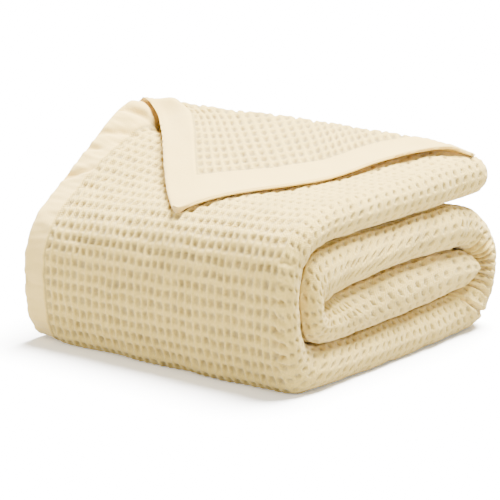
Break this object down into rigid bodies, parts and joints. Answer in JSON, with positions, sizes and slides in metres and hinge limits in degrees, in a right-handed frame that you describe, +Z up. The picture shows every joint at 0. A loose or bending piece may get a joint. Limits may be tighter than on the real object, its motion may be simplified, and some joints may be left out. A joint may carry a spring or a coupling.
{
  "type": "folded waffle weave blanket",
  "caption": "Waffle weave cotton blanket folded to a strip and rolled flat into a bundle, its hemmed top corner turned back.",
  "frame": {"origin": "centre of the bounding box's underside, on the surface that the bundle lies on", "axes": "+Z up; +X out of the end where the strip's round folds show as a flat spiral; -Y out of the long front face"},
  "size_m": [0.2996, 0.3135, 0.197],
  "materials": {
    "cream_cotton": "matt waffle weave cotton, undyed cream"
  },
  "bodies": {
    "root": {"waffle_blanket": "cream_cotton"}
  },
  "joints": []
}
